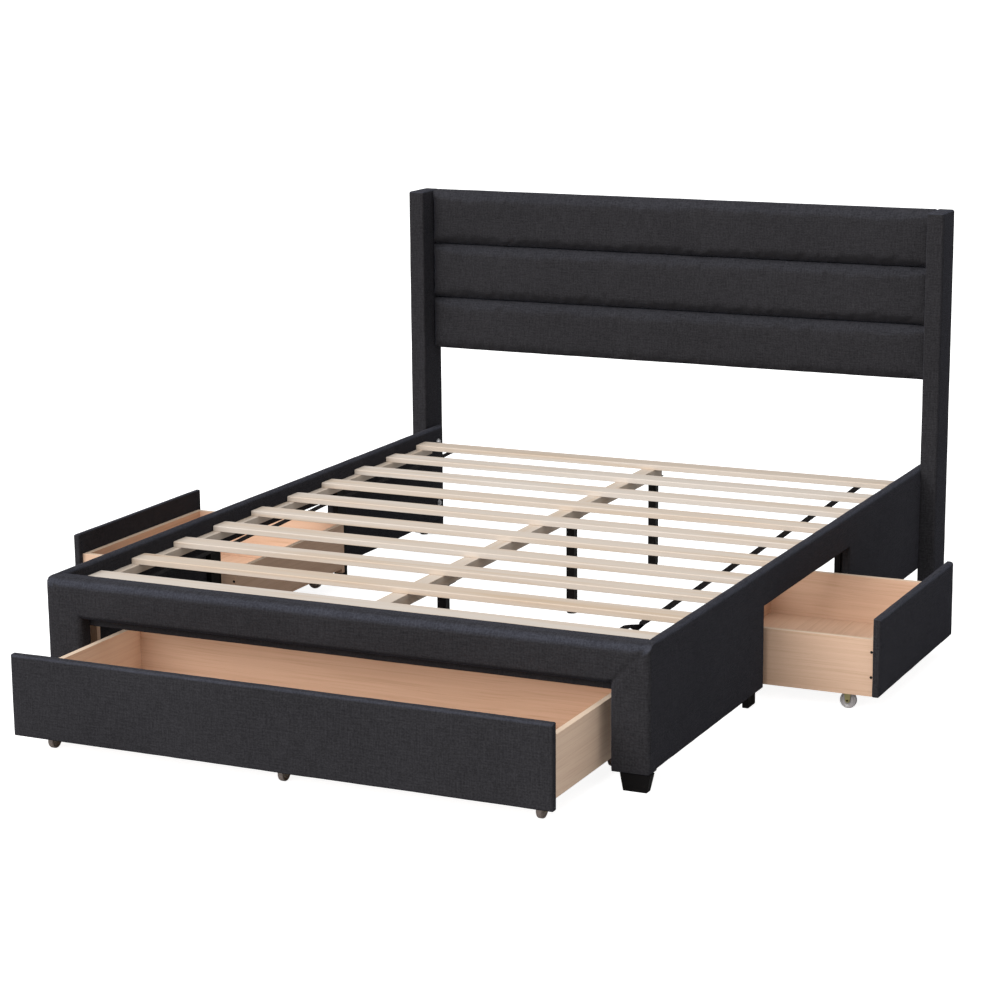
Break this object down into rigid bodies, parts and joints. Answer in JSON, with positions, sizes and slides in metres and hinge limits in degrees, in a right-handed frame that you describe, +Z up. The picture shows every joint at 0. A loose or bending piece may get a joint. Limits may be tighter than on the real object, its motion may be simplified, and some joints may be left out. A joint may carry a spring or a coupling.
{
  "type": "platform bed with storage drawers",
  "caption": "Upholstered platform bed with a winged channel headboard, pine slats and storage drawers on casters in the foot and sides.",
  "frame": {"origin": "on the floor under the middle leg of the centre beam, on the bed's centreline", "axes": "+Z up, +Y towards the headboard, +X to the right for someone who stands at the foot and faces the headboard"},
  "size_m": [2.332, 2.509, 1.088],
  "materials": {
    "charcoal_fabric": "linen weave, dark charcoal",
    "pine": "bare planed pine",
    "beech_board": "beech-look laminated board",
    "black_board": "black stained board",
    "black_plastic": "matte black",
    "black_steel": "satin black powder coat",
    "zinc_steel": "yellow zinc plate",
    "wheel_plastic": "milky grey",
    "webbing": "black woven webbing"
  },
  "bodies": {
    "bed_frame": {"headboard_board": "charcoal_fabric", "headboard_channel_top": "charcoal_fabric", "headboard_channel_middle": "charcoal_fabric", "headboard_channel_bottom": "charcoal_fabric", "wing_left": "charcoal_fabric", "wing_right": "charcoal_fabric", "side_rail_left": "charcoal_fabric", "side_rail_right": "charcoal_fabric", "footboard": "charcoal_fabric", "ledger_left": "pine", "ledger_right": "pine", "slat_1": "pine", "slat_2": "pine", "slat_3": "pine", "slat_4": "pine", "slat_5": "pine", "slat_6": "pine", "slat_7": "pine", "slat_8": "pine", "slat_9": "pine", "slat_10": "pine", "slat_straps": "webbing", "centre_beam": "pine", "beam_hanger": "black_steel", "centre_leg_front": "black_steel", "centre_leg_middle": "black_steel", "centre_leg_rear": "black_steel", "guide_posts_left": "black_board", "guide_posts_right": "black_board", "corner_blocks": "beech_board", "corner_feet": "black_plastic", "floor_glides": "black_plastic", "rail_bolts": "zinc_steel"},
    "foot_drawer": {"foot_drawer_front": "charcoal_fabric", "foot_drawer_box_front": "beech_board", "foot_drawer_side_left": "beech_board", "foot_drawer_side_right": "beech_board", "foot_drawer_back": "beech_board", "foot_drawer_bottom": "beech_board", "foot_drawer_casters": "zinc_steel"},
    "left_drawer": {"left_drawer_front": "charcoal_fabric", "left_drawer_box_front": "beech_board", "left_drawer_side_foot_end": "beech_board", "left_drawer_side_head_end": "beech_board", "left_drawer_back": "beech_board", "left_drawer_bottom": "beech_board", "left_drawer_casters": "zinc_steel"},
    "right_drawer": {"right_drawer_front": "charcoal_fabric", "right_drawer_box_front": "beech_board", "right_drawer_side_foot_end": "beech_board", "right_drawer_side_head_end": "beech_board", "right_drawer_back": "beech_board", "right_drawer_bottom": "beech_board", "right_drawer_casters": "zinc_steel"},
    "foot_drawer_wheels_front": {"foot_drawer_wheels_front": "wheel_plastic"},
    "foot_drawer_wheels_rear": {"foot_drawer_wheels_rear": "wheel_plastic"},
    "left_drawer_wheels_front": {"left_drawer_wheels_front": "wheel_plastic"},
    "left_drawer_wheels_rear": {"left_drawer_wheels_rear": "wheel_plastic"},
    "right_drawer_wheels_front": {"right_drawer_wheels_front": "wheel_plastic"},
    "right_drawer_wheels_rear": {"right_drawer_wheels_rear": "wheel_plastic"}
  },
  "joints": [
    {"name": "foot_drawer_slide", "type": "slide", "parent": "bed_frame", "child": "foot_drawer", "axis": [0, -1, 0], "range_m": [-0.302, 0.158]},
    {"name": "foot_drawer_wheels_front_roll", "type": "hinge", "parent": "foot_drawer", "child": "foot_drawer_wheels_front", "pos_m": [0, -1.642, 0.021], "axis": [1, 0, 0], "continuous": true},
    {"name": "foot_drawer_wheels_rear_roll", "type": "hinge", "parent": "foot_drawer", "child": "foot_drawer_wheels_rear", "pos_m": [0, -1.24, 0.021], "axis": [1, 0, 0], "continuous": true},
    {"name": "left_drawer_slide", "type": "slide", "parent": "bed_frame", "child": "left_drawer", "axis": [-1, 0, 0], "range_m": [-0.44, 0.02]},
    {"name": "left_drawer_wheels_front_roll", "type": "hinge", "parent": "left_drawer", "child": "left_drawer_wheels_front", "pos_m": [-1.148, -0.304, 0.021], "axis": [0, -1, 0], "continuous": true},
    {"name": "left_drawer_wheels_rear_roll", "type": "hinge", "parent": "left_drawer", "child": "left_drawer_wheels_rear", "pos_m": [-0.802, -0.304, 0.021], "axis": [0, -1, 0], "continuous": true},
    {"name": "right_drawer_slide", "type": "slide", "parent": "bed_frame", "child": "right_drawer", "axis": [1, 0, 0], "range_m": [-0.292, 0.168]},
    {"name": "right_drawer_wheels_front_roll", "type": "hinge", "parent": "right_drawer", "child": "right_drawer_wheels_front", "pos_m": [1, -0.304, 0.021], "axis": [0, 1, 0], "continuous": true},
    {"name": "right_drawer_wheels_rear_roll", "type": "hinge", "parent": "right_drawer", "child": "right_drawer_wheels_rear", "pos_m": [0.654, -0.304, 0.021], "axis": [0, 1, 0], "continuous": true}
  ],
  "couplings": [
    {"joint": "foot_drawer_wheels_front_roll", "follows": "foot_drawer_slide", "rad_per_m": 47.619},
    {"joint": "foot_drawer_wheels_rear_roll", "follows": "foot_drawer_slide", "rad_per_m": 47.619},
    {"joint": "left_drawer_wheels_front_roll", "follows": "left_drawer_slide", "rad_per_m": 47.619},
    {"joint": "left_drawer_wheels_rear_roll", "follows": "left_drawer_slide", "rad_per_m": 47.619},
    {"joint": "right_drawer_wheels_front_roll", "follows": "right_drawer_slide", "rad_per_m": 47.619},
    {"joint": "right_drawer_wheels_rear_roll", "follows": "right_drawer_slide", "rad_per_m": 47.619}
  ]
}
